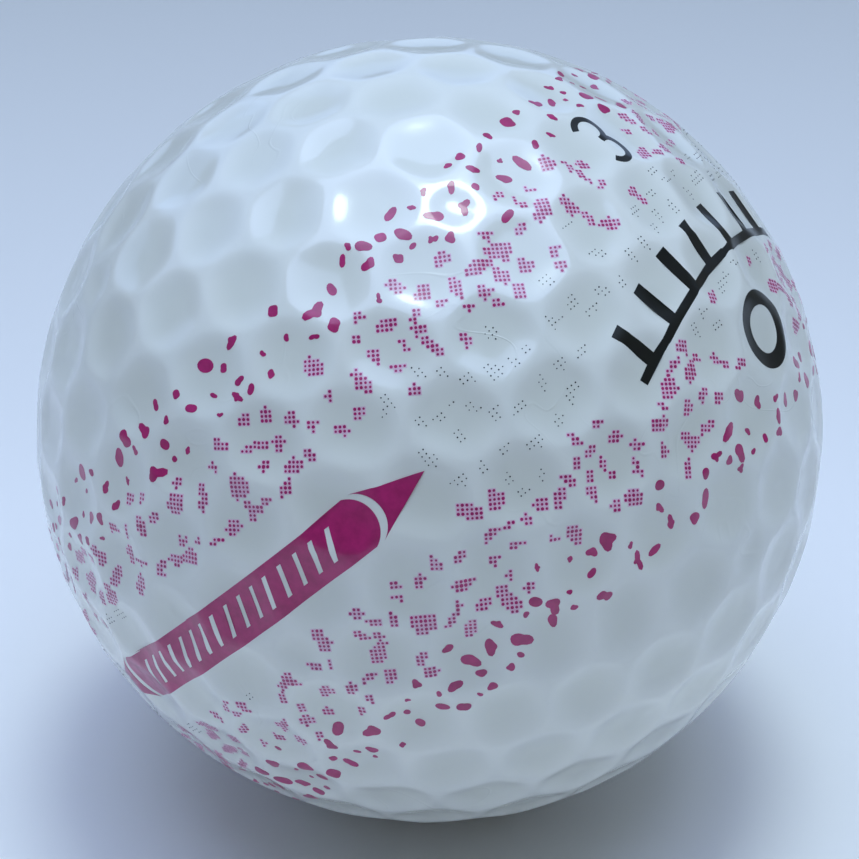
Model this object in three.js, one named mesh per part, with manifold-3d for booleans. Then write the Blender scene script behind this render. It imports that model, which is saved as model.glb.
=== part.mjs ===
// Two-piece golf ball: a rubber core inside a thin ionomer cover, with its printed marks.
//
// The cover is moulded as two half shells that fuse along a staggered parting line, so that no
// hollow is cut. Its surface is a network of narrow ridges around 332 hollows: 320 hexagons and
// 12 pentagons. The printed marks are thin films of ink that follow the hollows.
//
// Two frames are used. The mould frame has a pentagon at each pole and the parting line around
// its equator. The part's own frame has its origin at the ball's centre and +Z up, and the ball
// lies turned in it, as a ball comes to rest.

import * as THREE from "three";
import { ConvexHull } from "three/addons/math/ConvexHull.js";
import { mergeVertices } from "three/addons/utils/BufferGeometryUtils.js";
import Module from "manifold-3d";

// ---- Driving dimensions, in millimetres and degrees ----

const BALL_RADIUS = 42.67 / 2;
const COVER_THICKNESS = 1.7;
const CORE_RADIUS = BALL_RADIUS - COVER_THICKNESS;

// A hollow has a steep wall under its ridge, then a broad shallow floor.
const HOLLOW_DEPTH = 0.25;
const FLOOR_RIM_DEPTH = 0.18;
const FLOOR_SHARE = 0.62; // how far the floor reaches from the hollow's centre to its ridge

// Rows of hollows in each half: rings that grow by 5 out to the ring of pentagons, then full rows.
const RINGS = 6;
const PENTAGON_RING_DEG = 63.43;
const FULL_ROWS = 2;
const FULL_ROW_COUNT = 5 * RINGS;
const HALF_TURN_AXIS_DEG = 15; // the level axis that turns one half's pattern into the other's

// Evening out the rows: each hollow is pushed off its neighbours, a little at a time.
const EVENING_STEPS = 150;
const EVENING_STRENGTH = 0.01;
const EVENING_REACH = 1.6; // in mean spacings

// A pentagon has five neighbours this near, and a hexagon six. Its ridges are drawn in towards its
// centre, because its centre counts as this share farther off than it is.
const NEIGHBOUR_REACH = 1.35; // in mean spacings
const PENTAGON_DRAW_IN = 0.0056;

// How the ball lies, and where its printing sits: turns about Z, then the new Y, then the new X.
const LIE_DEG = { z: -131.1, y: 3.6, x: -87.6 };
const STAMP_DEG = { z: -33.3, y: -37.4, x: 146.7 };

// Ink lies on the ridges and hollows. Its outlines are in degrees along a great circle and off it.
const INK_GAP = 0.02;
const INK_THICKNESS = 0.05;
const CUTTER_INNER_RADIUS = 0.8 * BALL_RADIUS;
const CUTTER_OUTER_RADIUS = 1.2 * BALL_RADIUS;
const CURVE_SEGMENTS = 10;

const ARROW_CENTRE_DEG = -37;
const BAR_HALF_LENGTH_DEG = 28.6;
const BAR_HALF_WIDTH_DEG = 3.75;
const BAR_NOSE_DEG = 2.5; // how far a round end of the bar reaches past its straight edges
const NOSE_RADIUS_DEG = (BAR_HALF_WIDTH_DEG ** 2 + BAR_NOSE_DEG ** 2) / (2 * BAR_NOSE_DEG);
const NOSE_SWEEP = Math.asin(BAR_HALF_WIDTH_DEG / NOSE_RADIUS_DEG);
const BAR_EDGE_STEPS = 8;
const TIP_GAP_DEG = 1.2;
const TIP_APEX_DEG = 37; // from the arrow's centre

const NUMBER_CENTRE_DEG = { along: 55.4, off: 18 };
const NUMBER_LOBE_RADIUS_DEG = 2.15;
const NUMBER_STROKE_DEG = 1.05;
const NUMBER_OPEN_DEG = 150; // bearing of a lobe's free end
const NUMBER_JOIN_DEG = 100; // bearing of a lobe's end at the middle of the numeral

const SCALE_CENTRE_DEG = { along: 57, off: -72 };
const SCALE_RADIUS_DEG = 67.5;
const SCALE_HALF_SWEEP_DEG = 23;
const SCALE_LINE_DEG = 1.3;
const SCALE_BAR_COUNT = 8;
const SCALE_BAR_WIDTH_DEG = 2;
const SCALE_BAR_HEIGHT_DEG = 7;

const RING_CENTRE_DEG = { along: 57, off: -16.5 };
const RING_RADIUS_DEG = 5.6;
const RING_STROKE_DEG = 2.2;

// ---- Colours ----

const COVER_WHITE = { color: 0xe9edf2, roughness: 0.22, metalness: 0 };
const CORE_RUBBER = { color: 0xc9584a, roughness: 0.75, metalness: 0 };
const MAGENTA_INK = { color: 0xb01f6d, roughness: 0.25, metalness: 0 };
const BLACK_INK = { color: 0x161a16, roughness: 0.25, metalness: 0 };

const wasm = await Module();
wasm.setup();

const radians = THREE.MathUtils.degToRad;
const turned = ({ z, y, x }) => new THREE.Euler(radians(x), radians(y), radians(z), "ZYX");

// ---- The pattern of hollows ----

function towards(alongDeg, offDeg) {
  const along = radians(alongDeg);
  const off = radians(offDeg);
  return new THREE.Vector3(
    Math.cos(off) * Math.cos(along),
    Math.cos(off) * Math.sin(along),
    Math.sin(off),
  );
}

function upperRows() {
  const pentagonRow = 90 - PENTAGON_RING_DEG;
  const centres = [towards(0, 90)];
  for (let ring = 1; ring <= RINGS; ring += 1) {
    for (let i = 0; i < 5 * ring; i += 1) {
      centres.push(towards((72 * i) / ring, 90 - (ring * PENTAGON_RING_DEG) / RINGS));
    }
  }
  const rowGap = pentagonRow / (FULL_ROWS + 0.5);
  for (let row = 1; row <= FULL_ROWS; row += 1) {
    for (let i = 0; i < FULL_ROW_COUNT; i += 1) {
      centres.push(towards((360 / FULL_ROW_COUNT) * (i + row / 2), pentagonRow - row * rowGap));
    }
  }
  return centres;
}

function otherHalf(centres) {
  const axis = towards(HALF_TURN_AXIS_DEG, 0);
  return centres.map((centre) => centre.clone().applyAxisAngle(axis, Math.PI));
}

function pushedOff(centre, others, spacing) {
  const push = new THREE.Vector3();
  for (const other of others) {
    const gap = centre.distanceTo(other);
    if (gap > 0 && gap < EVENING_REACH * spacing) {
      const away = centre.clone().sub(other).divideScalar(gap);
      push.addScaledVector(away, (spacing / gap) ** 3);
    }
  }
  push.projectOnPlane(centre);
  return centre.clone().addScaledVector(push, EVENING_STRENGTH * spacing).normalize();
}

function meanSpacing(count) {
  return Math.sqrt((8 * Math.PI) / (count * Math.sqrt(3)));
}

function evenedRows() {
  let upper = upperRows();
  const spacing = meanSpacing(2 * upper.length);
  for (let step = 0; step < EVENING_STEPS; step += 1) {
    const all = [...upper, ...otherHalf(upper)];
    upper = upper.map((centre) => pushedOff(centre, all, spacing));
  }
  return { upper, lower: otherHalf(upper) };
}

function drawnIn(centre, centres) {
  const reach = NEIGHBOUR_REACH * meanSpacing(centres.length);
  const near = centres.filter((other) => other !== centre && centre.distanceTo(other) < reach);
  return centre.clone().multiplyScalar(near.length === 5 ? 1 - PENTAGON_DRAW_IN : 1);
}

// A cell is every point nearer to its own centre than to any other, a pentagon's centre being drawn
// in. Its corners are the normals of the convex hull's faces that meet at the centre, listed
// anticlockwise as seen from outside.
function cellsOf(centres) {
  const cells = new Map(centres.map((centre) => [centre, { centre, corners: [] }]));
  const owners = new Map(centres.map((centre) => [drawnIn(centre, centres), cells.get(centre)]));
  for (const face of new ConvexHull().setFromPoints([...owners.keys()]).faces) {
    for (let i = 0; i < 3; i += 1) {
      owners.get(face.getEdge(i).head().point).corners.push(face.normal);
    }
  }
  for (const { centre, corners } of cells.values()) {
    const east = corners[0].clone().projectOnPlane(centre);
    const north = new THREE.Vector3().crossVectors(centre, east);
    const bearing = (corner) => Math.atan2(corner.dot(north), corner.dot(east));
    corners.sort((a, b) => bearing(a) - bearing(b));
  }
  return cells;
}

// ---- Faceted shells ----

// Vertices are shared by every face that meets at the same direction and radius.
class Facets {
  constructor() {
    this.positions = [];
    this.triangles = [];
    this.layers = new Map();
  }

  vertex(direction, radius) {
    if (!this.layers.has(radius)) {
      this.layers.set(radius, new Map());
    }
    const layer = this.layers.get(radius);
    if (!layer.has(direction)) {
      layer.set(direction, this.positions.length / 3);
      this.positions.push(...direction.clone().multiplyScalar(radius).toArray());
    }
    return layer.get(direction);
  }

  face(first, ...rest) {
    for (let i = 1; i < rest.length; i += 1) {
      this.triangles.push(first, rest[i - 1], rest[i]);
    }
  }

  geometry() {
    const geometry = new THREE.BufferGeometry();
    geometry.setAttribute("position", new THREE.Float32BufferAttribute(this.positions, 3));
    geometry.setIndex(this.triangles);
    return geometry;
  }
}

function sidesOf({ corners }) {
  return corners.map((corner, i) => [corner, corners[(i + 1) % corners.length]]);
}

function addHollow(facets, cell) {
  const middle = facets.vertex(cell.centre, BALL_RADIUS - HOLLOW_DEPTH);
  const floorRim = new Map(cell.corners.map((corner) => {
    const direction = cell.centre.clone().lerp(corner, FLOOR_SHARE).normalize();
    return [corner, facets.vertex(direction, BALL_RADIUS - FLOOR_RIM_DEPTH)];
  }));
  for (const [from, to] of sidesOf(cell)) {
    const ridge = [facets.vertex(from, BALL_RADIUS), facets.vertex(to, BALL_RADIUS)];
    facets.face(...ridge, floorRim.get(to), floorRim.get(from));
    facets.face(middle, floorRim.get(from), floorRim.get(to));
  }
}

function addRound(facets, cell, radius, facingIn) {
  const middle = facets.vertex(cell.centre, radius);
  for (const side of sidesOf(cell)) {
    const [from, to] = facingIn ? side.toReversed() : side;
    facets.face(middle, facets.vertex(from, radius), facets.vertex(to, radius));
  }
}

function openSides(cells) {
  const sides = cells.flatMap(sidesOf);
  const reached = new Map(sides.map(([from]) => [from, new Set()]));
  for (const [from, to] of sides) {
    reached.get(from).add(to);
  }
  return sides.filter(([from, to]) => !reached.get(to).has(from));
}

function coverHalf(cells) {
  const facets = new Facets();
  for (const cell of cells) {
    addHollow(facets, cell);
    addRound(facets, cell, CORE_RADIUS, true);
  }
  for (const [from, to] of openSides(cells)) {
    const outer = [facets.vertex(to, BALL_RADIUS), facets.vertex(from, BALL_RADIUS)];
    facets.face(...outer, facets.vertex(from, CORE_RADIUS), facets.vertex(to, CORE_RADIUS));
  }
  return facets.geometry();
}

function coreBall(cells) {
  const facets = new Facets();
  for (const cell of cells) {
    addRound(facets, cell, CORE_RADIUS, false);
  }
  return facets.geometry();
}

// ---- Printed marks ----

function solidFrom(geometry) {
  return new wasm.Manifold(new wasm.Mesh({
    numProp: 3,
    vertProperties: new Float32Array(geometry.attributes.position.array),
    triVerts: new Uint32Array(geometry.index.array),
  }));
}

function geometryFrom(solid) {
  const mesh = solid.getMesh();
  const geometry = new THREE.BufferGeometry();
  geometry.setAttribute("position", new THREE.BufferAttribute(mesh.vertProperties, 3));
  geometry.setIndex(new THREE.BufferAttribute(mesh.triVerts, 1));
  return geometry;
}

function skinRaised(cells, height) {
  const facets = new Facets();
  for (const cell of cells) {
    addHollow(facets, cell);
  }
  const scale = 1 + height / BALL_RADIUS;
  return solidFrom(facets.geometry().scale(scale, scale, scale));
}

// An outline extruded outwards along the ball's radii, through the whole depth of the ink.
function cutter(outline) {
  const depth = CUTTER_OUTER_RADIUS - CUTTER_INNER_RADIUS;
  const flat = new THREE.ExtrudeGeometry(outline, {
    depth,
    bevelEnabled: false,
    curveSegments: CURVE_SEGMENTS,
  });
  flat.deleteAttribute("normal");
  flat.deleteAttribute("uv");
  const wrapped = mergeVertices(flat);
  const stampTurn = new THREE.Quaternion().setFromEuler(turned(STAMP_DEG));
  const { position } = wrapped.attributes;
  for (let i = 0; i < position.count; i += 1) {
    const radius = CUTTER_INNER_RADIUS + position.getZ(i);
    const point = towards(position.getX(i), position.getY(i)).multiplyScalar(radius);
    position.setXYZ(i, ...point.applyQuaternion(stampTurn).toArray());
  }
  return solidFrom(wrapped);
}

function ringSector(along, off, radius, stroke, fromDeg, toDeg) {
  const [from, to] = [radians(fromDeg), radians(toDeg)];
  const outline = new THREE.Shape();
  outline.absarc(along, off, radius + stroke / 2, from, to, false);
  outline.absarc(along, off, radius - stroke / 2, to, from, true);
  return outline;
}

// The bar's ends are round: each is an arc from corner to corner that stands out by the nose.
// The bar's long edges are stepped, so that they keep their distance from the great circle.
function arrowBar() {
  const straight = BAR_HALF_LENGTH_DEG - BAR_NOSE_DEG;
  const outline = new THREE.Shape();
  outline.moveTo(ARROW_CENTRE_DEG - straight, -BAR_HALF_WIDTH_DEG);
  for (const side of [-1, 1]) {
    for (let step = 1; step <= BAR_EDGE_STEPS; step += 1) {
      const along = side * straight * (1 - (2 * step) / BAR_EDGE_STEPS);
      outline.lineTo(ARROW_CENTRE_DEG + along, side * BAR_HALF_WIDTH_DEG);
    }
    const middle = side < 0 ? 0 : Math.PI;
    const arcCentre = ARROW_CENTRE_DEG - side * (BAR_HALF_LENGTH_DEG - NOSE_RADIUS_DEG);
    outline.absarc(arcCentre, 0, NOSE_RADIUS_DEG, middle - NOSE_SWEEP, middle + NOSE_SWEEP, false);
  }
  return outline;
}

// Each tip is a pointed triangle whose base follows the bar's round end at a small distance.
function arrowTip(side) {
  const arcCentre = ARROW_CENTRE_DEG + side * (BAR_HALF_LENGTH_DEG + TIP_GAP_DEG - NOSE_RADIUS_DEG);
  const middle = side > 0 ? 0 : Math.PI;
  const outline = new THREE.Shape();
  outline.absarc(arcCentre, 0, NOSE_RADIUS_DEG, middle + NOSE_SWEEP, middle - NOSE_SWEEP, true);
  outline.lineTo(ARROW_CENTRE_DEG + side * TIP_APEX_DEG, 0);
  return outline;
}

function playNumber() {
  const { along, off } = NUMBER_CENTRE_DEG;
  const lobe = (side, from, to) => cutter(ringSector(along, off + side * NUMBER_LOBE_RADIUS_DEG,
    NUMBER_LOBE_RADIUS_DEG, NUMBER_STROKE_DEG, from, to));
  const upper = lobe(1, -NUMBER_JOIN_DEG, NUMBER_OPEN_DEG);
  const lower = lobe(-1, -NUMBER_OPEN_DEG, NUMBER_JOIN_DEG);
  return upper.add(lower);
}

// A plain curved scale: an arched line with evenly spaced bars standing on it.
function scaleBar(bearing) {
  const { along, off } = SCALE_CENTRE_DEG;
  const halfWidth = SCALE_BAR_WIDTH_DEG / 2;
  const top = SCALE_RADIUS_DEG + SCALE_BAR_HEIGHT_DEG;
  const corner = (radius, aside) => new THREE.Vector2(
    along + radius * Math.cos(bearing) + aside * Math.sin(bearing),
    off + radius * Math.sin(bearing) - aside * Math.cos(bearing),
  );
  return new THREE.Shape([
    corner(SCALE_RADIUS_DEG, halfWidth),
    corner(top, halfWidth),
    corner(top, -halfWidth),
    corner(SCALE_RADIUS_DEG, -halfWidth),
  ]);
}

function curvedScale() {
  const { along, off } = SCALE_CENTRE_DEG;
  const [first, last] = [90 + SCALE_HALF_SWEEP_DEG, 90 - SCALE_HALF_SWEEP_DEG];
  let scale = cutter(ringSector(along, off, SCALE_RADIUS_DEG, SCALE_LINE_DEG, last, first));
  for (let i = 0; i < SCALE_BAR_COUNT; i += 1) {
    const share = (i + 0.5) / SCALE_BAR_COUNT;
    scale = scale.add(cutter(scaleBar(radians(THREE.MathUtils.lerp(first, last, share)))));
  }
  return scale;
}

function plainRing() {
  const { along, off } = RING_CENTRE_DEG;
  const outline = new THREE.Shape().absarc(along, off, RING_RADIUS_DEG, 0, 2 * Math.PI, false);
  const inside = RING_RADIUS_DEG - RING_STROKE_DEG;
  outline.holes.push(new THREE.Path().absarc(along, off, inside, 0, 2 * Math.PI, true));
  return outline;
}

// ---- The assembly ----

const ball = new THREE.Group();
ball.quaternion.setFromEuler(turned(LIE_DEG));

function addPart(name, geometry, finish) {
  const part = new THREE.Mesh(geometry, new THREE.MeshStandardMaterial(finish));
  part.name = name;
  ball.add(part);
}

const { upper, lower } = evenedRows();
const cells = cellsOf([...upper, ...lower]);
const allCells = [...cells.values()];
const inkLayer = skinRaised(allCells, INK_GAP + INK_THICKNESS)
  .subtract(skinRaised(allCells, INK_GAP));

function addPrint(name, mark, finish) {
  addPart(name, geometryFrom(inkLayer.intersect(mark)), finish);
}

addPart("core", coreBall(allCells), CORE_RUBBER);
addPart("cover_half_a", coverHalf(upper.map((centre) => cells.get(centre))), COVER_WHITE);
addPart("cover_half_b", coverHalf(lower.map((centre) => cells.get(centre))), COVER_WHITE);
addPrint("arrow_bar_print", cutter(arrowBar()), MAGENTA_INK);
addPrint("arrow_front_tip_print", cutter(arrowTip(1)), MAGENTA_INK);
addPrint("arrow_rear_tip_print", cutter(arrowTip(-1)), MAGENTA_INK);
addPrint("play_number_print", playNumber(), BLACK_INK);
addPrint("curved_scale_print", curvedScale(), BLACK_INK);
addPrint("ring_print", cutter(plainRing()), BLACK_INK);

export default ball;
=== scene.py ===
"""Looks of a golf ball: a finely dimpled cover, its printed marks and splatter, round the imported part.

Lengths are in metres. The printing is laid out in the stamp frame: degrees along the arrow's great
circle, anticlockwise from the arrow's front point, and degrees off that circle.
"""

import math

import bmesh
import bpy
import numpy as np
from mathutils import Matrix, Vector
from mathutils.geometry import delaunay_2d_cdt


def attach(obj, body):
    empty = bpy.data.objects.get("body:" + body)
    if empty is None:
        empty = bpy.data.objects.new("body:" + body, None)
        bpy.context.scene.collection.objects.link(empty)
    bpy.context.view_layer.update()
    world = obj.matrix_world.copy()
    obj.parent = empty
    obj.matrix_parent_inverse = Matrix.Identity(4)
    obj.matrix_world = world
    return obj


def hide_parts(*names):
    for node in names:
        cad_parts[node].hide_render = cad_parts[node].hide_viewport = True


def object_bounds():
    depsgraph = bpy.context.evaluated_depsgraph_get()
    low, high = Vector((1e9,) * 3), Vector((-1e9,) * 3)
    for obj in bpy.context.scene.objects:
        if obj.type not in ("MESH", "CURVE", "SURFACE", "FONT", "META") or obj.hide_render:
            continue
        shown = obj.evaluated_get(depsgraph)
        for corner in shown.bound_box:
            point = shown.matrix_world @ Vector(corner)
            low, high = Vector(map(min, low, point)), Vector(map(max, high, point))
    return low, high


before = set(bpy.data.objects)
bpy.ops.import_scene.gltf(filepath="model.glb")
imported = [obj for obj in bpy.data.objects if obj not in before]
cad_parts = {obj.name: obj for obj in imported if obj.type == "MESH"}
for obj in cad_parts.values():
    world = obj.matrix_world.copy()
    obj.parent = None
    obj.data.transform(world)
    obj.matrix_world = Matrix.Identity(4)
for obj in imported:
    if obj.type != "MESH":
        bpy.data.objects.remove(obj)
cad_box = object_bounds()

MM = 0.001
SQUARE = ((-1, -1), (1, -1), (1, 1), (-1, 1))  # the corners of a square, anticlockwise

# ---- The cover's surface ----

COVER_HALVES = ("cover_half_a", "cover_half_b")
LEVEL_GAP = 0.02 * MM  # vertices of the CAD cover closer in radius than this are on one level
DIRECTION_DIGITS = 5  # directions that agree to this many decimals are one
HEXAGON_SIDES = 6
PENTAGON_SIDES = 5
CELLS_AT_CORNER = 3
CORNER_SOFTENING = 0.3 * MM  # how far a hollow's corners are rounded
RIDGE_SOFTENING = 0.42 * MM  # how far a ridge's crest is rounded
BOWL_POWER = 2.0  # the power of the bowl's profile: 2 for a round bottom
NEIGHBOUR_REACH = 1.35  # in mean spacings: a pentagon has five neighbours this near
PENTAGON_DRAW_IN = 0.0056  # the share by which a pentagon's centre counts as farther off
BOWL_NEIGHBOURS = 7  # a hollow and the most hollows round it
SURFACE_CHUNK = 20000  # directions worked out at a time

SIDE_STEPS = 8  # of the mesh, along each side of a cell
RIDGE_DISTANCES = (1.8, 1.4, 1.08, 0.82, 0.6, 0.42, 0.27, 0.13, 0.0)  # of the mesh's rings, in mm
INNER_SHARES = (0.5, 1.0)  # of the way out to a cell's side: rings on the core and inside the cover
JOIN_DISTANCE = 0.0001 * MM
WALL_STEEPNESS = 0.5  # a face whose normal is less radial than this is a side wall

# ---- The printing ----

FILM_HEIGHT = 0.012 * MM  # above the cover
GROUND_HEIGHT = 0.006 * MM
FILM_ROOT = 0.015 * MM  # how deep a film's underside is sunk in the cover
FILM_GRID_DEG = 0.4
CURVE_STEP_DEG = 5
FEWEST_CURVE_STEPS = 2
CDT_INSIDE_WITH_HOLES = 2  # the triangulation's output type
CDT_TOLERANCE = 1e-5

ARROW_CENTRE = -37
BAR_HALF_LENGTH = 28.6
BAR_HALF_WIDTH = 3.75
BAR_NOSE = 2.5  # how far a round end of the bar reaches past its straight edges
NOSE_RADIUS = (BAR_HALF_WIDTH**2 + BAR_NOSE**2) / (2 * BAR_NOSE)
NOSE_SWEEP = math.degrees(math.asin(BAR_HALF_WIDTH / NOSE_RADIUS))
TIP_GAP = 1.2
TIP_APEX = 37
SLOT_COUNT = 16
SLOT_PITCH = 2.85
SLOT_WIDTH = 0.75
SLOT_HALF_HEIGHT = 2.1
SLOT_SLANT = 0.9

NUMBER_CENTRE = (55.4, 18)
NUMBER_LOBE_RADIUS = 2.15
NUMBER_STROKE = 1.05
NUMBER_OPEN = 150
NUMBER_JOIN = 100

SCALE_CENTRE = (57, -72)
SCALE_RADIUS = 67.5
SCALE_HALF_SWEEP = 23
SCALE_LINE = 1.3
SCALE_BAR_COUNT = 8
SCALE_BAR_WIDTH = 2
SCALE_BAR_HEIGHT = 7
SCALE_REACH = SCALE_RADIUS / 2  # from the scale's middle along the belt, with room to spare

RING_CENTRE = (57, -16.5)
RING_RADIUS = 5.6
RING_STROKE = 2.2

# ---- The splatter ----

SPLATTER_SEED = 7
SPLATTER_TRIES = 16000
BELT_HALF_WIDTH = 29.5
SPECKLE_LIMIT = 9.0  # from the belt's middle: grey specks, then halftone, then solid drops
HALFTONE_LIMIT = 20.0
LIMIT_SPREAD = 1.5
NUMBER_CLEARANCE = 7  # from the number's middle
RING_CLEARANCE = 4  # from the ring's outer edge
SCALE_CLEARANCE = 2  # below the scale's line and above its bars
SIZES = {"solid": (0.13, 0.56), "halftone": (0.25, 0.68), "speckle": (0.28, 0.5)}  # radii in mm
SIZE_LEANING = (1.2, 2.2)  # of a beta distribution: small drops are commoner than large ones
GAPS = {"solid": (0.15, 1.5), "halftone": (0.05, 0.8), "speckle": (0.2, 0.9)}  # in mm
STRETCH_MOST = 2.1
UNEVENNESS = {2: 0.1, 3: 0.13, 4: 0.06}  # of a drop's outline, by how many bumps go round it
DROP_POINTS = 20
DROP_RINGS = (0.4, 0.75, 1.0)
HALFTONE_PITCH = 0.215  # pitches and dots' radii are in mm
HALFTONE_TURN = 55
HALFTONE_DOT = 0.074
HALFTONE_CORE = 0.35  # how much larger the dots in the middle of a drop may be
SPECKLE_PITCH = 0.25
SPECKLE_TURN = 88
SPECKLE_DOT = 0.038
DOT_SIDES = 7
DOT_VARIATION = (0.8, 1.15)  # of a dot's radius
SCREEN_REACH = 2  # in radii: how far a screen is laid out before a drop is cut from it
TILE_SHARE = 0.98  # of the pitch: neighbouring tiles stay apart

# ---- Camera, floor and light ----

CAMERA_DISTANCE = 146.6 * MM
CAMERA_ELEVATION = 30
CAMERA_LENS = 112.1
CAMERA_SENSOR = 36
CAMERA_CLIP = 1 * MM
FLOOR_HALF_SIZE = 3.0
PAPER_NEAR = 0.0  # painted shade: the paper greys from here, under the ball, to there, behind it
PAPER_FAR = 0.13


def unit(vectors):
    return vectors / np.linalg.norm(vectors, axis=-1, keepdims=True)


def srgb(red, green, blue):
    """A colour of the screen, 0 to 255, as the linear colour that a shader takes."""
    levels = [value / 255 for value in (red, green, blue)]
    linear = [v / 12.92 if v <= 0.04045 else ((v + 0.055) / 1.055) ** 2.4 for v in levels]
    return (*linear, 1.0)


# ---- What the frame says ----


def node_points(name):
    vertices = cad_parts[name].data.vertices
    points = np.empty(3 * len(vertices), np.float32)
    vertices.foreach_get("co", points)
    return points.reshape(-1, 3).astype(float)


def radius_levels(points):
    """The distinct distances from the ball's centre, smallest first."""
    radii = np.sort(np.linalg.norm(points, axis=1))
    return radii[np.diff(radii, prepend=0) > LEVEL_GAP]


def directions_at(points, radius):
    """The distinct directions of the points on one level."""
    on_level = np.abs(np.linalg.norm(points, axis=1) - radius) < LEVEL_GAP
    directions = unit(points[on_level])
    _, first = np.unique(directions.round(DIRECTION_DIGITS), axis=0, return_index=True)
    return directions[first]


def farthest_direction(name, other):
    """The direction of the node's point that is farthest from another node's middle."""
    points = node_points(name)
    distances = np.linalg.norm(points - node_points(other).mean(axis=0), axis=1)
    return unit(points[distances.argmax()])


COVER_POINTS = {half: node_points(half) for half in COVER_HALVES}
ALL_POINTS = np.vstack(list(COVER_POINTS.values()))
CORE_RADIUS, HOLLOW_RADIUS, _, BALL_RADIUS = radius_levels(ALL_POINTS)
HALF_CENTRES = [directions_at(points, HOLLOW_RADIUS) for points in COVER_POINTS.values()]
CENTRES = np.vstack(HALF_CENTRES)
CORNERS = directions_at(ALL_POINTS, BALL_RADIUS)
SPACING = math.sqrt(8 * math.pi / (len(CENTRES) * math.sqrt(3)))  # mean, on a ball of radius 1


def drawn_in_centres():
    """The hollows' centres, with the pentagons' drawn in so that their ridges stand nearer them."""
    distances = np.linalg.norm(CENTRES[:, None] - CENTRES[None], axis=2)
    neighbours = (distances < NEIGHBOUR_REACH * SPACING).sum(axis=1) - 1
    return CENTRES * np.where(neighbours == PENTAGON_SIDES, 1 - PENTAGON_DRAW_IN, 1)[:, None]


CELL_CENTRES = drawn_in_centres()
CORNER_CELLS = np.argsort(-(CORNERS @ CELL_CENTRES.T), axis=1)[:, :CELLS_AT_CORNER]

FRONT_POINT = farthest_direction("arrow_front_tip_print", "arrow_bar_print")
REAR_POINT = farthest_direction("arrow_rear_tip_print", "arrow_bar_print")
BELT_AXIS = unit(np.cross(REAR_POINT, FRONT_POINT))
STAMP_AXES = np.array([FRONT_POINT, np.cross(BELT_AXIS, FRONT_POINT), BELT_AXIS])


# ---- The relief of the cover ----


def crest_rounded(distance):
    """The distance from a ridge, as the bowl's profile counts it: the crest takes a share of it."""
    return np.sqrt(distance**2 + RIDGE_SOFTENING**2) - RIDGE_SOFTENING


BOWL_DEPTH = BALL_RADIUS - HOLLOW_RADIUS
HALF_SPACING = BALL_RADIUS * SPACING / 2
BOWL_REACH = crest_rounded(HALF_SPACING - CORNER_SOFTENING * math.log(HEXAGON_SIDES))


def relief_of_chunk(directions):
    """The radii and normals along directions, from the softened distance to the nearest ridge."""
    nearness = directions @ CELL_CENTRES.T
    near = np.argpartition(-nearness, BOWL_NEIGHBOURS, axis=1)[:, :BOWL_NEIGHBOURS]
    dots = np.take_along_axis(nearness, near, axis=1)
    own = dots.argmax(axis=1)[:, None]
    scale = BALL_RADIUS / SPACING
    gaps = scale * (np.take_along_axis(dots, own, axis=1) - dots)
    weights = np.exp(-gaps / CORNER_SOFTENING)
    np.put_along_axis(weights, own, 0, axis=1)
    total = weights.sum(axis=1, keepdims=True)
    distance = -CORNER_SOFTENING * np.log(total)
    inside = distance > 0
    distance = np.where(inside, distance, 0)
    neighbour = (weights[:, :, None] * CELL_CENTRES[near]).sum(axis=1) / total
    own_centre = CELL_CENTRES[np.take_along_axis(near, own, axis=1)[:, 0]]
    away = scale * (own_centre - neighbour) * inside

    rounded = crest_rounded(distance)
    share = np.clip(rounded / BOWL_REACH, 0, 1)
    steepness = BOWL_DEPTH * BOWL_POWER * (1 - share) ** (BOWL_POWER - 1) / BOWL_REACH
    gradient = -steepness * distance / (rounded + RIDGE_SOFTENING) * away
    radii = BALL_RADIUS - BOWL_DEPTH * (1 - (1 - share) ** BOWL_POWER)
    gradient -= (gradient * directions).sum(axis=1, keepdims=True) * directions
    return radii, unit(directions - gradient / radii)


def relief(directions):
    """The cover's outer radius along each direction, as a column, and its outward normal there."""
    chunks = np.array_split(directions, len(directions) // SURFACE_CHUNK + 1)
    radii, normals = zip(*[relief_of_chunk(chunk) for chunk in chunks])
    return np.vstack(radii), np.vstack(normals)


def dimpled_normals(directions):
    return relief(directions)[1]


def round_normals(directions):
    return directions


# ---- Meshes ----


def joined(mesh):
    """Joins the points of a mesh that lie in one place."""
    work = bmesh.new()
    work.from_mesh(mesh)
    bmesh.ops.remove_doubles(work, verts=work.verts, dist=JOIN_DISTANCE)
    work.to_mesh(mesh)
    work.free()


def shaded(mesh, outward_normals):
    """Gives outward faces the normals of the true surface, inward ones round normals, walls flat ones."""
    mesh.shade_smooth()
    points = np.empty(3 * len(mesh.vertices))
    mesh.vertices.foreach_get("co", points)
    directions = unit(points.reshape(-1, 3))
    corners = np.empty(len(mesh.loops), int)
    mesh.loops.foreach_get("vertex_index", corners)
    sides = np.empty(len(mesh.polygons), int)
    mesh.polygons.foreach_get("loop_total", sides)
    flat = np.empty(3 * len(mesh.polygons))
    mesh.polygons.foreach_get("normal", flat)
    flat = np.repeat(flat.reshape(-1, 3), sides, axis=0)
    facing = (flat * directions[corners]).sum(axis=1, keepdims=True)
    outward = outward_normals(directions)[corners]
    normals = np.where(facing > WALL_STEEPNESS, outward, flat)
    normals = np.where(facing < -WALL_STEEPNESS, -directions[corners], normals)
    mesh.normals_split_custom_set(normals.tolist())


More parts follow.
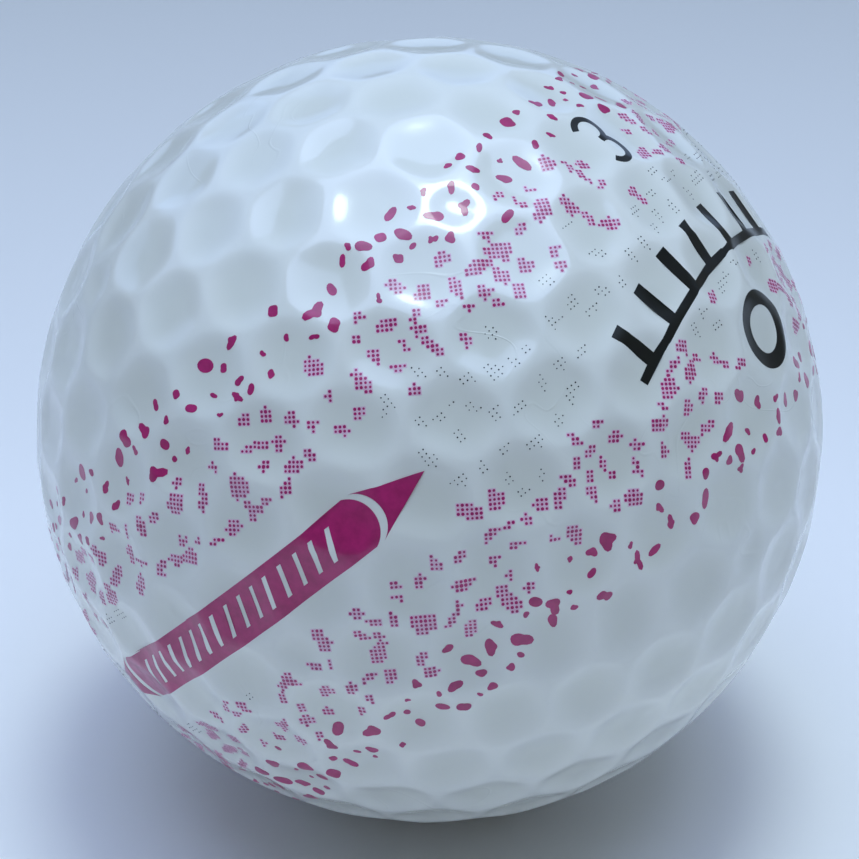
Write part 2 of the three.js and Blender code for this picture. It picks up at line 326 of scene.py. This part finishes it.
def add_piece(name, points, faces, outward_normals, finish, *nodes):
    """Makes a piece of the ball. Its finish is a material and the record's slot for it; the slot is not
    used.
    """
    material, slot = finish
    mesh = bpy.data.meshes.new(name)
    mesh.from_pydata(points.tolist(), [], faces)
    joined(mesh)
    shaded(mesh, outward_normals)
    mesh.materials.append(material)
    piece = bpy.data.objects.new(name, mesh)
    bpy.context.scene.collection.objects.link(piece)
    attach(piece, "root")
    if nodes:
        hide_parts(*nodes)


def gathered(parts):
    """Joins lists of (points, faces) into one."""
    points = []
    faces = []
    count = 0
    for part_points, part_faces in parts:
        points.append(part_points)
        faces += [tuple(corner + count for corner in face) for face in part_faces]
        count += len(part_points)
    return np.vstack(points), faces


# ---- Core and cover ----

SIDE_SHARES = (1 - np.cos(np.pi * np.arange(SIDE_STEPS) / SIDE_STEPS)) / 2
OUTER_SHARES = [1 - distance * MM / HALF_SPACING for distance in RIDGE_DISTANCES]


def corners_round(cell):
    """The corners of a cell, anticlockwise as seen from outside."""
    members = np.flatnonzero((CORNER_CELLS == cell).any(axis=1))
    centre = CENTRES[cell]
    east = unit(np.cross(centre, CORNERS[members[0]]))
    north = np.cross(centre, east)
    bearings = np.arctan2(CORNERS[members] @ north, CORNERS[members] @ east)
    return members[np.argsort(bearings)]


def side_directions(start, end):
    shares = SIDE_SHARES[:, None]
    return unit(CORNERS[start] * (1 - shares) + CORNERS[end] * shares)


def polar_faces(count, rings):
    """Faces of a polar grid, anticlockwise: a middle point, then rings of count points each."""
    following = [(i + 1) % count for i in range(count)]
    faces = [(0, 1 + i, 1 + following[i]) for i in range(count)]
    for ring in range(1, rings):
        inner = 1 + (ring - 1) * count
        outer = inner + count
        for i in range(count):
            faces.append((inner + i, outer + i, outer + following[i], inner + following[i]))
    return faces


def cell_sheet(cell, shares):
    """Directions and faces of a polar grid that fills a cell."""
    ring = corners_round(cell)
    sides = zip(ring, np.roll(ring, -1))
    border = np.vstack([side_directions(start, end) for start, end in sides])
    centre = CENTRES[cell][None]
    rings = [unit(centre * (1 - share) + border * share) for share in shares]
    return np.vstack([centre, *rings]), polar_faces(len(border), len(shares))


def turned_over(faces):
    return [face[::-1] for face in faces]


def parting_walls(cells):
    """Walls from the ridge down to the core along every side that the half doesn't share."""
    walls = []
    for cell in cells:
        ring = corners_round(cell)
        for start, end in zip(ring, np.roll(ring, -1)):
            beyond = set(CORNER_CELLS[start]) & set(CORNER_CELLS[end]) - {cell}
            if beyond <= set(cells):
                continue
            edge = np.vstack([side_directions(start, end), CORNERS[end][None]])
            count = len(edge)
            points = np.vstack([edge * relief(edge)[0], edge * CORE_RADIUS])
            faces = [(i + 1, i, i + count, i + count + 1) for i in range(count - 1)]
            walls.append((points, faces))
    return walls


def cover_half(cells):
    outer, outer_faces = gathered([cell_sheet(cell, OUTER_SHARES) for cell in cells])
    inner, inner_faces = gathered([cell_sheet(cell, INNER_SHARES) for cell in cells])
    return gathered([
        (outer * relief(outer)[0], outer_faces),
        (inner * CORE_RADIUS, turned_over(inner_faces)),
        *parting_walls(cells),
    ])


def core_ball():
    sheets = [cell_sheet(cell, INNER_SHARES) for cell in range(len(CENTRES))]
    directions, faces = gathered(sheets)
    return directions * CORE_RADIUS, faces


# ---- Films of ink ----


def stamped(points):
    """Directions from the ball's centre of points of the stamp frame."""
    along, off = np.radians(np.asarray(points, float)).T
    level = np.cos(off)
    local = np.stack([level * np.cos(along), level * np.sin(along), np.sin(off)], axis=1)
    return local @ STAMP_AXES


def film(directions, faces, height=FILM_HEIGHT):
    """A closed film of ink over a sheet of faces, with a wall down from each open edge."""
    radii = relief(directions)[0]
    edges = {edge for face in faces for edge in zip(face, face[1:] + face[:1])}
    count = len(directions)
    walls = [(b, a, a + count, b + count) for a, b in edges if (b, a) not in edges]
    lower = [tuple(corner + count for corner in face[::-1]) for face in faces]
    points = np.vstack([directions * (radii + height), directions * (radii - FILM_ROOT)])
    return points, [*faces, *lower, *sorted(walls)]


def filled(loops):
    """A fine triangulated sheet inside an outline, with a hole inside each further loop."""
    points = [Vector(point) for loop in loops for point in loop]
    faces = []
    start = 0
    for loop in loops:
        faces.append(list(range(start, start + len(loop))))
        start += len(loop)
    low = np.min(loops[0], axis=0)
    high = np.max(loops[0], axis=0)
    for along in np.arange(low[0], high[0], FILM_GRID_DEG):
        for off in np.arange(low[1], high[1], FILM_GRID_DEG):
            points.append(Vector((along, off)))
    result = delaunay_2d_cdt(points, [], faces, CDT_INSIDE_WITH_HOLES, CDT_TOLERANCE)
    used = sorted({corner for face in result[2] for corner in face})
    place = {corner: i for i, corner in enumerate(used)}
    directions = stamped([result[0][corner] for corner in used])
    return directions, [tuple(place[corner] for corner in face) for face in result[2]]


def arc(centre, radius, start, end):
    steps = max(FEWEST_CURVE_STEPS, math.ceil(abs(end - start) / CURVE_STEP_DEG))
    bearings = np.radians(np.linspace(start, end, steps + 1))
    along = centre[0] + radius * np.cos(bearings)
    off = centre[1] + radius * np.sin(bearings)
    return list(zip(along.tolist(), off.tolist()))


def slanted_slot(along):
    half = SLOT_WIDTH / 2
    low = along - SLOT_SLANT
    high = along + SLOT_SLANT
    return [
        (low - half, -SLOT_HALF_HEIGHT),
        (low + half, -SLOT_HALF_HEIGHT),
        (high + half, SLOT_HALF_HEIGHT),
        (high - half, SLOT_HALF_HEIGHT),
    ]


def arrow_bar():
    """The bar with its round ends, and a row of plain slanted slots left free of ink."""
    reach = BAR_HALF_LENGTH - NOSE_RADIUS
    front = arc((ARROW_CENTRE + reach, 0), NOSE_RADIUS, -NOSE_SWEEP, NOSE_SWEEP)
    rear = arc((ARROW_CENTRE - reach, 0), NOSE_RADIUS, 180 - NOSE_SWEEP, 180 + NOSE_SWEEP)
    middle = (SLOT_COUNT - 1) / 2
    places = [ARROW_CENTRE + (i - middle) * SLOT_PITCH for i in range(SLOT_COUNT)]
    return [front + rear, *[slanted_slot(place) for place in places]]


def arrow_tip(side):
    reach = BAR_HALF_LENGTH + TIP_GAP - NOSE_RADIUS
    towards = 0 if side > 0 else 180
    centre = (ARROW_CENTRE + side * reach, 0)
    base = arc(centre, NOSE_RADIUS, towards + NOSE_SWEEP, towards - NOSE_SWEEP)
    return [base + [(ARROW_CENTRE + side * TIP_APEX, 0)]]


def play_number():
    """A 3: the upper lobe down to the waist, and its mirror image below."""
    along, off = NUMBER_CENTRE
    centre = (0, NUMBER_LOBE_RADIUS)
    outer = NUMBER_LOBE_RADIUS + NUMBER_STROKE / 2
    inner = NUMBER_LOBE_RADIUS - NUMBER_STROKE / 2
    waist = -math.degrees(math.asin(NUMBER_LOBE_RADIUS / outer))
    stub = -NUMBER_LOBE_RADIUS / math.tan(math.radians(180 - NUMBER_JOIN))
    upper = arc(centre, outer, waist, NUMBER_OPEN)
    upper += arc(centre, inner, NUMBER_OPEN, -NUMBER_JOIN)
    upper.append((stub, 0))
    lower = [(x, -y) for x, y in upper[-2:0:-1]]
    return [[(along + x, off + y) for x, y in upper + lower]]


def scale_bar(bearing):
    """The four corners of a bar that stands on the scale's line, from its left foot clockwise."""
    half = SCALE_BAR_WIDTH / 2
    foot = SCALE_RADIUS + SCALE_LINE / 2
    top = SCALE_RADIUS + SCALE_BAR_HEIGHT
    out = np.array([math.cos(math.radians(bearing)), math.sin(math.radians(bearing))])
    aside = np.array([out[1], -out[0]])
    corners = [(foot, -half), (top, -half), (top, half), (foot, half)]
    return [tuple(SCALE_CENTRE + out * height + aside * shift) for height, shift in corners]


def curved_scale():
    """An arched line with evenly spaced bars standing on it, as one outline."""
    first = 90 + SCALE_HALF_SWEEP
    step = 2 * SCALE_HALF_SWEEP / SCALE_BAR_COUNT
    upper = arc(SCALE_CENTRE, SCALE_RADIUS + SCALE_LINE / 2, first, first)[:1]
    for i in range(SCALE_BAR_COUNT):
        upper += scale_bar(first - (i + 0.5) * step)
    last = 90 - SCALE_HALF_SWEEP
    upper += arc(SCALE_CENTRE, SCALE_RADIUS + SCALE_LINE / 2, last, last)[:1]
    return [upper + arc(SCALE_CENTRE, SCALE_RADIUS - SCALE_LINE / 2, last, first)]


def plain_ring():
    outer = arc(RING_CENTRE, RING_RADIUS, 0, 360)[:-1]
    return [outer, arc(RING_CENTRE, RING_RADIUS - RING_STROKE, 0, 360)[:-1]]


# ---- Splatter ----

rng = np.random.default_rng(SPLATTER_SEED)


def kept_clear(along, off):
    """Whether a place of the belt belongs to one of the marks."""
    beside_arrow = abs(along - ARROW_CENTRE) < TIP_APEX and abs(off) < SPECKLE_LIMIT
    from_number = math.dist((along, off), NUMBER_CENTRE)
    from_ring = math.dist((along, off), RING_CENTRE)
    on_scale = math.dist((along, off), SCALE_CENTRE) - SCALE_RADIUS  # height over its line
    over_scale = -SCALE_CLEARANCE < on_scale < SCALE_BAR_HEIGHT + SCALE_CLEARANCE
    by_scale = over_scale and abs(along - SCALE_CENTRE[0]) < SCALE_REACH
    by_number = from_number < NUMBER_CLEARANCE
    by_ring = from_ring < RING_RADIUS + RING_CLEARANCE
    return beside_arrow or by_number or by_ring or by_scale


def local_axes(along, off):
    """The place's direction, and the directions along the belt and across it there."""
    here = stamped([(along, off)])[0]
    across = unit(BELT_AXIS - (BELT_AXIS @ here) * here)
    return here, np.cross(across, here), across


def spread_on(axes, flat_points):
    """Flat points, in mm along and across the belt, laid on the ball round a place."""
    here, east, north = axes
    x, y = np.asarray(flat_points, float).T * MM / BALL_RADIUS
    return unit(here + x[:, None] * east + y[:, None] * north)


def turned(points, degrees):
    angle = math.radians(degrees)
    turn = np.array([[math.cos(angle), math.sin(angle)], [-math.sin(angle), math.cos(angle)]])
    return np.asarray(points) @ turn


def drop_reach(bearings, bumps, stretch):
    """How far a drop's outline reaches at each bearing, as a share of its radius."""
    swell = 1 + sum(size * np.cos(n * bearings + phase) for n, size, phase in bumps)
    oval = np.sqrt(np.cos(bearings) ** 2 / stretch + np.sin(bearings) ** 2 * stretch)
    return swell / oval


def random_drop():
    """A drop's shape: its bumps, its stretch, and how it is turned."""
    bumps = [(n, rng.normal(0, size), rng.uniform(0, 2 * math.pi)) for n, size in UNEVENNESS.items()]
    return bumps, rng.uniform(1, STRETCH_MOST), rng.uniform(0, 180)


def solid_drop(axes, radius):
    bumps, stretch, turn = random_drop()
    bearings = np.linspace(0, 2 * math.pi, DROP_POINTS, endpoint=False)
    reach = radius * drop_reach(bearings, bumps, stretch)
    outline = turned(np.stack([reach * np.cos(bearings), reach * np.sin(bearings)], axis=1), turn)
    flat = np.vstack([[[0, 0]], *[outline * share for share in DROP_RINGS]])
    return spread_on(axes, flat), polar_faces(DROP_POINTS, len(DROP_RINGS))


def dotted_drop(axes, radius, pitch, turn, dot, core):
    """A drop printed as a screen: a plate for each dot inside its outline, and a tile round each dot."""
    bumps, stretch, drop_turn = random_drop()
    reach = SCREEN_REACH * radius
    steps = np.arange(-reach, reach, pitch)
    grid = np.array([(x, y) for x in steps for y in steps]) + rng.uniform(0, pitch, 2)
    bearings = np.arctan2(grid[:, 1], grid[:, 0]) - math.radians(drop_turn - turn)
    shares = np.hypot(*grid.T) / (radius * drop_reach(bearings, bumps, stretch))
    sides = np.linspace(0, 2 * math.pi, DOT_SIDES, endpoint=False)
    rim = np.stack([np.cos(sides), np.sin(sides)], axis=1)
    square = turned(TILE_SHARE * pitch / 2 * np.array(SQUARE), turn)
    grown = rng.uniform(0, core)
    dots = []
    tiles = []
    for place, share in zip(turned(grid, turn), shares):
        size = dot * rng.uniform(*DOT_VARIATION) * (1 + grown * max(0, 1 - share))
        if share < 1:
            dots.append((spread_on(axes, place + size * rim), [tuple(range(DOT_SIDES))]))
            tiles.append((spread_on(axes, place + square), [(0, 1, 2, 3)]))
    return dots, tiles


def kind_at(distance):
    """What kind of drop is printed at a distance from the belt's middle."""
    if distance < SPECKLE_LIMIT:
        return "speckle"
    if distance < HALFTONE_LIMIT:
        return "halftone"
    return "solid"


def scattered():
    """Places and sizes of the drops, in the order they are accepted: (along, off, kind, radius)."""
    centres = np.empty((0, 3))
    reaches = np.empty(0)
    drops = []
    for _ in range(SPLATTER_TRIES):
        along = rng.uniform(-180, 180)
        off = rng.uniform(-BELT_HALF_WIDTH, BELT_HALF_WIDTH)
        kind = kind_at(abs(off) + rng.normal(0, LIMIT_SPREAD))
        low, high = SIZES[kind]
        radius = low + (high - low) * rng.beta(*SIZE_LEANING)
        gap = rng.uniform(*GAPS[kind])
        if kept_clear(along, off):
            continue
        here = stamped([(along, off)])
        reach = (radius + gap) * MM / BALL_RADIUS
        if (np.linalg.norm(centres - here, axis=1) < reaches + reach).any():
            continue
        centres = np.vstack([centres, here])
        reaches = np.append(reaches, radius * MM / BALL_RADIUS)
        drops.append((along, off, kind, radius))
    return drops


def splatter():
    """Sheets of the solid drops, the magenta screen dots, their pale ground, and the grey specks."""
    sheets = {"solid": [], "halftone": [], "ground": [], "speckle": []}
    for along, off, kind, radius in scattered():
        axes = local_axes(along, off)
        if kind == "solid":
            sheets[kind].append(solid_drop(axes, radius))
        elif kind == "halftone":
            dots, tiles = dotted_drop(
                axes, radius, HALFTONE_PITCH, HALFTONE_TURN, HALFTONE_DOT, HALFTONE_CORE)
            sheets[kind] += dots
            sheets["ground"] += tiles
        else:
            dots, _ = dotted_drop(axes, radius, SPECKLE_PITCH, SPECKLE_TURN, SPECKLE_DOT, 0)
            sheets[kind] += dots
    return {kind: gathered(parts) for kind, parts in sheets.items()}


# ---- Materials ----

# The sockets of a Mix node that mixes colours
MIX_FIRST = 6
MIX_SECOND = 7
MIX_RESULT = 2

# Noises: features per metre, detail, and roughness where it isn't 0.5
CLOUD_NOISE = (90, 2.0)
PEEL_NOISE = (900, 3.0)
GLOSS_NOISE = (300, 2.0)
INK_NOISE = (1500, 3.0, 0.6)
INK_GRAIN = (2500, 2.0)
FILLER_NOISE = (1200, 5.0, 0.7)
RUBBER_GRAIN = (3000, 4.0)

# The bands of a noise that are spread out to the full range
MIDDLE_BAND = (0.35, 0.65)
GLOSS_BAND = (0.3, 0.7)
FILLER_BAND = (0.45, 0.7)
NOISE_MIDDLE = 0.5

# Depths of the bumps
PEEL_DEPTH = 0.004 * MM
SCRATCH_DEPTH = 0.01 * MM
INK_GRAIN_DEPTH = 0.002 * MM
RUBBER_GRAIN_DEPTH = 0.02 * MM

PLASTIC_IOR = 1.5

POLISHED_WHITES = (srgb(244, 244, 235), srgb(238, 239, 231))
# Painted shade: the hollows' floors are coloured this greyer white.
HOLLOW_PAINTED_SHADE = srgb(230, 231, 220)
COVER_ROUGHNESS = (0.18, 0.26)
COVER_COAT = 0.6
COVER_COAT_ROUGHNESS = 0.06
DIRT_COLOUR = srgb(60, 66, 52)
DIRT_CELLS = 260.0  # cells per metre, and at most one speck of dirt in each
DIRT_EDGE = (0.018, 0.03)  # from a speck's middle, in cells: where it starts to fade and is gone
DIRT_CHOICE = (0.8, 0.81)  # a cell whose random number is above this has its speck
SCRATCHES = (140, 0.012)  # features per metre, and how far the noise is off its middle at their edge
SCRATCH_DETAIL = 1.0
SCRATCH_WANDER = 1.5
SCRATCHED_CLOUDS = (0.6, 0.9)  # how cloudy it is where scratches start to show and are full

INKS = {
    # name: its lighter and its darker colour, roughness
    "printed_magenta": (srgb(190, 36, 112), srgb(170, 26, 98), 0.3),
    "printed_pale_magenta": (srgb(240, 206, 222), srgb(234, 190, 212), 0.3),
    "printed_black": (srgb(24, 28, 24), srgb(16, 19, 17), 0.28),
}
INK_ROUGHENING = 0.08
INK_COAT = 0.5
INK_COAT_ROUGHNESS = 0.08

RUBBER_REDS = (srgb(196, 84, 70), srgb(168, 66, 56))
RUBBER_ROUGHNESS = (0.7, 0.82)

# Painted shade: the far grey stands in for less light falling on the floor farther back.
PAPER_GREYS_PAINTED_SHADE = (srgb(248, 246, 245), srgb(203, 203, 203))  # near and far
PAPER_ROUGHNESS = 0.7


class Nodes:
    """A material's node tree, built one node at a time."""

    def __init__(self, name):
        self.material = bpy.data.materials.new(name)
        self.material.use_nodes = True
        self.tree = self.material.node_tree
        self.shader = self.tree.nodes["Principled BSDF"]
        self.object_space = self.add("ShaderNodeTexCoord").outputs["Object"]

    def add(self, kind, inputs=None, **settings):
        node = self.tree.nodes.new(kind)
        for key, value in settings.items():
            setattr(node, key, value)
        for key, value in (inputs or {}).items():
            self.put(value, node.inputs[key])
        return node

    def put(self, value, socket):
        if isinstance(value, bpy.types.NodeSocket):
            self.tree.links.new(value, socket)
        else:
            socket.default_value = value

    def noise(self, per_metre, detail, roughness=0.5):
        inputs = {
            "Vector": self.object_space,
            "Scale": per_metre,
            "Detail": detail,
            "Roughness": roughness,
        }
        return self.add("ShaderNodeTexNoise", inputs).outputs["Fac"]

    def ramp(self, value, low, high, to_low=0, to_high=1):
        inputs = {
            "Value": value,
            "From Min": low,
            "From Max": high,
            "To Min": to_low,
            "To Max": to_high,
        }
        return self.add("ShaderNodeMapRange", inputs).outputs["Result"]

    def mix(self, share, first, second):
        node = self.add("ShaderNodeMix", data_type="RGBA")
        self.put(share, node.inputs["Factor"])
        self.put(first, node.inputs[MIX_FIRST])
        self.put(second, node.inputs[MIX_SECOND])
        return node.outputs[MIX_RESULT]

    def worked_out(self, operation, *values):
        """The result of a Math node's operation on one or two values."""
        return self.add("ShaderNodeMath", dict(enumerate(values)), operation=operation).outputs[0]

    def thin_lines(self, per_metre, width):
        """1 on wandering hairlines, where a distorted noise passes its middle value, and 0 off them."""
        inputs = {
            "Vector": self.object_space,
            "Scale": per_metre,
            "Detail": SCRATCH_DETAIL,
            "Distortion": SCRATCH_WANDER,
        }
        noise = self.add("ShaderNodeTexNoise", inputs).outputs["Fac"]
        off = self.worked_out("SUBTRACT", noise, NOISE_MIDDLE)
        return self.ramp(self.worked_out("ABSOLUTE", off), 0, width, 1, 0)

    def bump(self, height, distance, normal=None):
        inputs = {"Height": height, "Distance": distance}
        if normal is not None:
            inputs["Normal"] = normal
        return self.add("ShaderNodeBump", inputs).outputs["Normal"]

    def finish(self, inputs):
        for key, value in inputs.items():
            self.put(value, self.shader.inputs[key])
        return self.material


def dirt(nodes):
    """1 on the few specks of dirt, and 0 off them."""
    cells = nodes.add("ShaderNodeTexVoronoi", {"Vector": nodes.object_space, "Scale": DIRT_CELLS})
    speck = nodes.ramp(cells.outputs["Distance"], *DIRT_EDGE, 1, 0)
    numbers = nodes.add("ShaderNodeSeparateColor", {"Color": cells.outputs["Color"]})
    chosen = nodes.ramp(numbers.outputs["Red"], *DIRT_CHOICE)
    return nodes.worked_out("MULTIPLY", speck, chosen)


def cover_ionomer():
    """White ionomer under a clear coat: clouded, with painted shade greying its hollows, a little dirty
    and scratched.
    """
    nodes = Nodes("coated_ionomer")
    clouds = nodes.ramp(nodes.noise(*CLOUD_NOISE), *MIDDLE_BAND)
    polished = nodes.mix(clouds, *POLISHED_WHITES)
    radius = nodes.add("ShaderNodeVectorMath", {0: nodes.object_space}, operation="LENGTH")
    # Painted shade: the colour greys from the ridges down into the hollows' floors.
    height = nodes.ramp(radius.outputs["Value"], HOLLOW_RADIUS, BALL_RADIUS)
    white = nodes.mix(height, HOLLOW_PAINTED_SHADE, polished)
    colour = nodes.mix(dirt(nodes), white, DIRT_COLOUR)
    scratched = nodes.ramp(clouds, *SCRATCHED_CLOUDS)
    scratch = nodes.ramp(nodes.thin_lines(*SCRATCHES), 0, 1, 0, scratched)
    peel = nodes.bump(nodes.noise(*PEEL_NOISE), PEEL_DEPTH)
    return nodes.finish({
        "Base Color": colour,
        "Roughness": nodes.ramp(nodes.noise(*GLOSS_NOISE), *GLOSS_BAND, *COVER_ROUGHNESS),
        "Normal": nodes.bump(scratch, SCRATCH_DEPTH, peel),
        "IOR": PLASTIC_IOR,
        "Coat Weight": COVER_COAT,
        "Coat Roughness": COVER_COAT_ROUGHNESS,
        "Coat IOR": PLASTIC_IOR,
    })


def ink(name):
    """Printed ink under the ball's clear coat, slightly uneven."""
    light, dark, roughness = INKS[name]
    nodes = Nodes(name)
    uneven = nodes.ramp(nodes.noise(*INK_NOISE), *MIDDLE_BAND)
    return nodes.finish({
        "Base Color": nodes.mix(uneven, light, dark),
        "Roughness": nodes.ramp(uneven, 0, 1, roughness, roughness + INK_ROUGHENING),
        "Normal": nodes.bump(nodes.noise(*INK_GRAIN), INK_GRAIN_DEPTH),
        "IOR": PLASTIC_IOR,
        "Coat Weight": INK_COAT,
        "Coat Roughness": INK_COAT_ROUGHNESS,
    })


def core_rubber():
    """Moulded rubber of the core, speckled with its filler."""
    nodes = Nodes("moulded_rubber")
    filler = nodes.ramp(nodes.noise(*FILLER_NOISE), *FILLER_BAND)
    return nodes.finish({
        "Base Color": nodes.mix(filler, *RUBBER_REDS),
        "Roughness": nodes.ramp(filler, 0, 1, *RUBBER_ROUGHNESS),
        "Normal": nodes.bump(nodes.noise(*RUBBER_GRAIN), RUBBER_GRAIN_DEPTH),
    })


def floor_paper():
    """The plain pale floor, with painted shade that greys it behind the ball."""
    nodes = Nodes("floor_paper")
    place = nodes.add("ShaderNodeSeparateXYZ", {0: nodes.object_space})
    # Painted shade: the floor greys with distance behind the ball.
    behind = nodes.ramp(place.outputs["Y"], PAPER_NEAR, PAPER_FAR)
    return nodes.finish({
        "Base Color": nodes.mix(behind, *PAPER_GREYS_PAINTED_SHADE),
        "Roughness": PAPER_ROUGHNESS,
    })


# ---- The ball ----


def add_core_and_cover():
    cover = (cover_ionomer(), "cover_ionomer")
    rubber = (core_rubber(), "core_rubber")
    add_piece("rubber_core", *core_ball(), round_normals, rubber, "core")
    first = 0
    for half, centres in zip(COVER_HALVES, HALF_CENTRES):
        cells = range(first, first + len(centres))
        first += len(centres)
        name = half.replace("cover", "dimpled_cover")
        add_piece(name, *cover_half(cells), dimpled_normals, cover, half)


def add_marks(magenta, black):
    marks = {
        "arrow_bar": (arrow_bar(), magenta),
        "arrow_front_tip": (arrow_tip(1), magenta),
        "arrow_rear_tip": (arrow_tip(-1), magenta),
        "play_number": (play_number(), black),
        "curved_scale": (curved_scale(), black),
        "ring": (plain_ring(), black),
    }
    for name, (loops, finish) in marks.items():
        mesh = film(*filled(loops))
        add_piece(f"{name}_ink", *mesh, dimpled_normals, finish, f"{name}_print")


def add_splatter(magenta, pale_magenta, black):
    sheets = splatter()
    for name, kind, height, finish in (
        ("splatter_drops_ink", "solid", FILM_HEIGHT, magenta),
        ("splatter_screen_dots_ink", "halftone", FILM_HEIGHT, magenta),
        ("splatter_screen_ground_ink", "ground", GROUND_HEIGHT, pale_magenta),
        ("splatter_specks_ink", "speckle", FILM_HEIGHT, black),
    ):
        add_piece(name, *film(*sheets[kind], height), dimpled_normals, finish)


# ---- The studio ----


def add_floor():
    mesh = bpy.data.meshes.new("floor")
    height = cad_box[0].z
    points = [(FLOOR_HALF_SIZE * x, FLOOR_HALF_SIZE * y, height) for x, y in SQUARE]
    mesh.from_pydata(points, [], [(0, 1, 2, 3)])
    mesh.materials.append(floor_paper())
    floor = bpy.data.objects.new("floor", mesh)
    bpy.context.scene.collection.objects.link(floor)


def from_bearing(azimuth, elevation):
    """The direction of a place seen from the ball: azimuth 0 is the camera's side, 90 its right."""
    a = math.radians(azimuth)
    e = math.radians(elevation)
    return Vector((math.sin(a) * math.cos(e), -math.cos(a) * math.cos(e), math.sin(e)))


def add_light(name, azimuth, elevation, distance, size, power, colour):
    light = bpy.data.lights.new(name, "AREA")
    light.shape = "ELLIPSE" if size[0] == size[1] else "RECTANGLE"
    light.size, light.size_y = size
    light.energy = power
    light.color = colour
    lamp = bpy.data.objects.new(name, light)
    lamp.location = from_bearing(azimuth, elevation) * distance
    lamp.rotation_mode = "QUATERNION"
    lamp.rotation_quaternion = (-lamp.location).to_track_quat("-Z", "Y")
    bpy.context.scene.collection.objects.link(lamp)


LIGHTS = {
    # name: azimuth, elevation, distance, (width, height), watts, colour
    # A light as wide as it is high is round.
    "overhead": (0, 90, 0.35, (0.42, 0.42), 1.14, (0.52, 0.66, 1.0)),
    "lamp": (141, 84, 1.2, (0.36, 0.36), 3.6, (0.82, 1.0, 0.96)),
    "back_left": (-130, 35, 1.6, (1.2, 1.1), 2.6, (0.34, 0.52, 1.0)),
    "back_right": (130, 35, 1.6, (1.2, 1.1), 0.8, (0.4, 0.6, 1.0)),
    "back_high": (180, 45, 1.5, (1.2, 1.2), 1.1, (0.46, 0.68, 1.0)),
    "back_low": (180, 14, 1.5, (2.0, 0.5), 2.2, (0.41, 0.6, 1.0)),
    "left": (-80, 30, 1.6, (1.0, 1.1), 0.7, (0.28, 0.58, 1.0)),
    "front_right": (40, 45, 1.5, (1.0, 1.1), 0.7, (0.45, 0.8, 1.0)),
}
ROOM_GREY = (0.085, 0.085, 0.085, 1.0)


def add_lights():
    for name, settings in LIGHTS.items():
        add_light(name, *settings)
    world = bpy.data.worlds.new("room")
    world.use_nodes = True
    background = world.node_tree.nodes["Background"]
    background.inputs["Color"].default_value = ROOM_GREY
    bpy.context.scene.world = world


def add_camera():
    camera = bpy.data.cameras.new("camera")
    camera.sensor_width = CAMERA_SENSOR
    camera.lens = CAMERA_LENS
    camera.clip_start = CAMERA_CLIP
    view = bpy.data.objects.new("camera", camera)
    view.location = from_bearing(0, CAMERA_ELEVATION) * CAMERA_DISTANCE
    view.rotation_mode = "QUATERNION"
    view.rotation_quaternion = (-view.location).to_track_quat("-Z", "Y")
    bpy.context.scene.collection.objects.link(view)
    bpy.context.scene.camera = view


add_camera()
add_floor()
add_lights()
add_core_and_cover()
magenta = (ink("printed_magenta"), "magenta_ink")
pale_magenta = (ink("printed_pale_magenta"), "magenta_ink")
black = (ink("printed_black"), "black_ink")
add_marks(magenta, black)
add_splatter(magenta, pale_magenta, black)
bpy.context.scene.view_settings.view_transform = "Standard"
